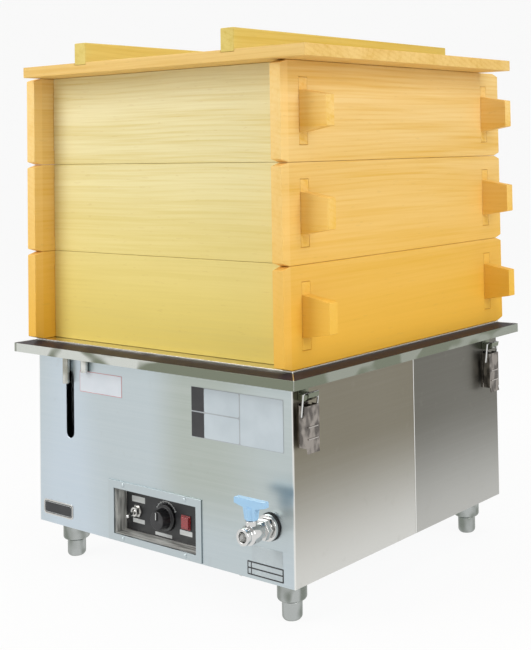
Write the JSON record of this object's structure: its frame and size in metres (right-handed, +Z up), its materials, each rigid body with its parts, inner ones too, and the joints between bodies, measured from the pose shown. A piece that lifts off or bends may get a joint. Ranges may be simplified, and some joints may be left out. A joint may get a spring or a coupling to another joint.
{
  "type": "food steamer",
  "caption": "Square water-bath food steamer: steel cabinet on screw feet with draw latches, a drain valve, stacked wooden frames and a battened lid.",
  "frame": {"origin": "on the floor under the middle of the whole outline", "axes": "+Z up, -Y towards the control panel's side, +X to the right seen from the front"},
  "size_m": [0.5414, 0.489, 0.6692],
  "materials": {
    "steel_sheet": "fine brushed stainless sheet",
    "steel_rim": "smooth stainless tray, welded mitres",
    "steel_polished": "bright stainless",
    "chrome_plate": "chrome plated",
    "black_panel": "satin black plate",
    "black_plastic": "moulded black plastic",
    "black_rubber": "matt black rubber",
    "red_lens": "glossy red lens",
    "blue_plastic": "smooth light blue plastic",
    "clear_glass": "clear tube",
    "heater_steel": "heat-darkened steel sheath",
    "side_wood": "planed pale softwood, warm",
    "front_wood": "planed pale softwood",
    "grate_wood": "planed softwood slats",
    "lid_wood": "planed pale softwood"
  },
  "bodies": {
    "cabinet": {"front_casing": "steel_sheet", "rear_casing": "steel_sheet", "base_plate": "steel_sheet", "rim_front": "steel_rim", "rim_rear": "steel_rim", "rim_left": "steel_rim", "rim_right": "steel_rim", "water_tank": "steel_polished", "immersion_heater": "heater_steel", "gauge_tube": "clear_glass", "drain_pipe": "steel_polished", "overflow_spout_long": "steel_polished", "overflow_spout_short": "steel_polished", "control_bezel": "steel_polished", "control_plate": "black_panel", "switch_body": "steel_polished", "thermostat_body": "steel_polished", "pilot_lamp": "red_lens", "valve_gasket": "black_rubber", "valve_body": "chrome_plate", "valve_lock_nut": "steel_polished", "cord_gland": "black_plastic", "latch_base_front_left": "steel_polished", "latch_base_front_right": "steel_polished", "latch_base_rear_left": "steel_polished", "latch_base_rear_right": "steel_polished"},
    "lower_frame": {"lower_frame_left_board": "side_wood", "lower_frame_right_board": "side_wood", "lower_frame_front_board": "front_wood", "lower_frame_rear_board": "front_wood", "lower_frame_grate": "grate_wood"},
    "middle_frame": {"middle_frame_left_board": "side_wood", "middle_frame_right_board": "side_wood", "middle_frame_front_board": "front_wood", "middle_frame_rear_board": "front_wood", "middle_frame_grate": "grate_wood"},
    "upper_frame": {"upper_frame_left_board": "side_wood", "upper_frame_right_board": "side_wood", "upper_frame_front_board": "front_wood", "upper_frame_rear_board": "front_wood", "upper_frame_grate": "grate_wood"},
    "lid": {"lid_panel": "lid_wood", "lid_batten_left": "lid_wood", "lid_batten_right": "lid_wood"},
    "thermostat_dial": {"thermostat_knob": "black_plastic"},
    "switch_toggle": {"toggle_lever": "chrome_plate"},
    "drain_handle": {"valve_handle": "blue_plastic", "valve_ball": "chrome_plate"},
    "latch_lever_front_left": {"latch_lever_front_left": "steel_polished"},
    "latch_loop_front_left": {"latch_loop_front_left": "chrome_plate"},
    "latch_lever_front_right": {"latch_lever_front_right": "steel_polished"},
    "latch_loop_front_right": {"latch_loop_front_right": "chrome_plate"},
    "latch_lever_rear_left": {"latch_lever_rear_left": "steel_polished"},
    "latch_loop_rear_left": {"latch_loop_rear_left": "chrome_plate"},
    "latch_lever_rear_right": {"latch_lever_rear_right": "steel_polished"},
    "latch_loop_rear_right": {"latch_loop_rear_right": "chrome_plate"},
    "foot_front_left": {"foot_front_left": "steel_polished"},
    "foot_front_right": {"foot_front_right": "steel_polished"},
    "foot_rear_left": {"foot_rear_left": "steel_polished"},
    "foot_rear_right": {"foot_rear_right": "steel_polished"}
  },
  "joints": [
    {"name": "lower_frame_lift", "type": "slide", "parent": "cabinet", "child": "lower_frame", "axis": [0, 0, 1], "range_m": [0, 0.15]},
    {"name": "middle_frame_lift", "type": "slide", "parent": "lower_frame", "child": "middle_frame", "axis": [0, 0, 1], "range_m": [0, 0.15]},
    {"name": "upper_frame_lift", "type": "slide", "parent": "middle_frame", "child": "upper_frame", "axis": [0, 0, 1], "range_m": [0, 0.15]},
    {"name": "lid_lift", "type": "slide", "parent": "upper_frame", "child": "lid", "axis": [0, 0, 1], "range_m": [0, 0.15]},
    {"name": "thermostat_turn", "type": "hinge", "parent": "cabinet", "child": "thermostat_dial", "pos_m": [-0.0068, -0.18025, 0.083], "axis": [0, -1, 0], "range_deg": [0, 270]},
    {"name": "switch_tip", "type": "hinge", "parent": "cabinet", "child": "switch_toggle", "pos_m": [-0.0578, -0.18455, 0.083], "axis": [-1, 0, 0], "range_deg": [0, 26]},
    {"name": "drain_handle_turn", "type": "hinge", "parent": "cabinet", "child": "drain_handle", "pos_m": [0.1852, -0.23005, 0.111], "axis": [0, 0, 1], "range_deg": [0, 90]},
    {"name": "latch_lever_front_left_swing", "type": "hinge", "parent": "cabinet", "child": "latch_lever_front_left", "pos_m": [-0.238, -0.16005, 0.243], "axis": [0, 1, 0], "range_deg": [0, 90]},
    {"name": "latch_loop_front_left_swing", "type": "hinge", "parent": "latch_lever_front_left", "child": "latch_loop_front_left", "pos_m": [-0.238, -0.16005, 0.2358], "axis": [0, 1, 0], "range_deg": [-81, 0]},
    {"name": "latch_lever_front_right_swing", "type": "hinge", "parent": "cabinet", "child": "latch_lever_front_right", "pos_m": [0.2304, -0.18355, 0.243], "axis": [0, -1, 0], "range_deg": [0, 90]},
    {"name": "latch_loop_front_right_swing", "type": "hinge", "parent": "latch_lever_front_right", "child": "latch_loop_front_right", "pos_m": [0.2304, -0.18355, 0.2358], "axis": [0, -1, 0], "range_deg": [-81, 0]},
    {"name": "latch_lever_rear_left_swing", "type": "hinge", "parent": "cabinet", "child": "latch_lever_rear_left", "pos_m": [-0.238, 0.19245, 0.243], "axis": [0, 1, 0], "range_deg": [0, 90]},
    {"name": "latch_loop_rear_left_swing", "type": "hinge", "parent": "latch_lever_rear_left", "child": "latch_loop_rear_left", "pos_m": [-0.238, 0.19245, 0.2358], "axis": [0, 1, 0], "range_deg": [-81, 0]},
    {"name": "latch_lever_rear_right_swing", "type": "hinge", "parent": "cabinet", "child": "latch_lever_rear_right", "pos_m": [0.2304, 0.19245, 0.243], "axis": [0, -1, 0], "range_deg": [0, 90]},
    {"name": "latch_loop_rear_right_swing", "type": "hinge", "parent": "latch_lever_rear_right", "child": "latch_loop_rear_right", "pos_m": [0.2304, 0.19245, 0.2358], "axis": [0, -1, 0], "range_deg": [-81, 0]},
    {"name": "foot_front_left_screw", "type": "slide", "parent": "cabinet", "child": "foot_front_left", "axis": [0, 0, -1], "range_m": [0, 0.012]},
    {"name": "foot_front_right_screw", "type": "slide", "parent": "cabinet", "child": "foot_front_right", "axis": [0, 0, -1], "range_m": [0, 0.012]},
    {"name": "foot_rear_left_screw", "type": "slide", "parent": "cabinet", "child": "foot_rear_left", "axis": [0, 0, -1], "range_m": [0, 0.012]},
    {"name": "foot_rear_right_screw", "type": "slide", "parent": "cabinet", "child": "foot_rear_right", "axis": [0, 0, -1], "range_m": [0, 0.012]}
  ],
  "couplings": [
    {"joint": "latch_loop_front_left_swing", "follows": "latch_lever_front_left_swing", "ratio": -0.9},
    {"joint": "latch_loop_front_right_swing", "follows": "latch_lever_front_right_swing", "ratio": -0.9},
    {"joint": "latch_loop_rear_left_swing", "follows": "latch_lever_rear_left_swing", "ratio": -0.9},
    {"joint": "latch_loop_rear_right_swing", "follows": "latch_lever_rear_right_swing", "ratio": -0.9}
  ]
}
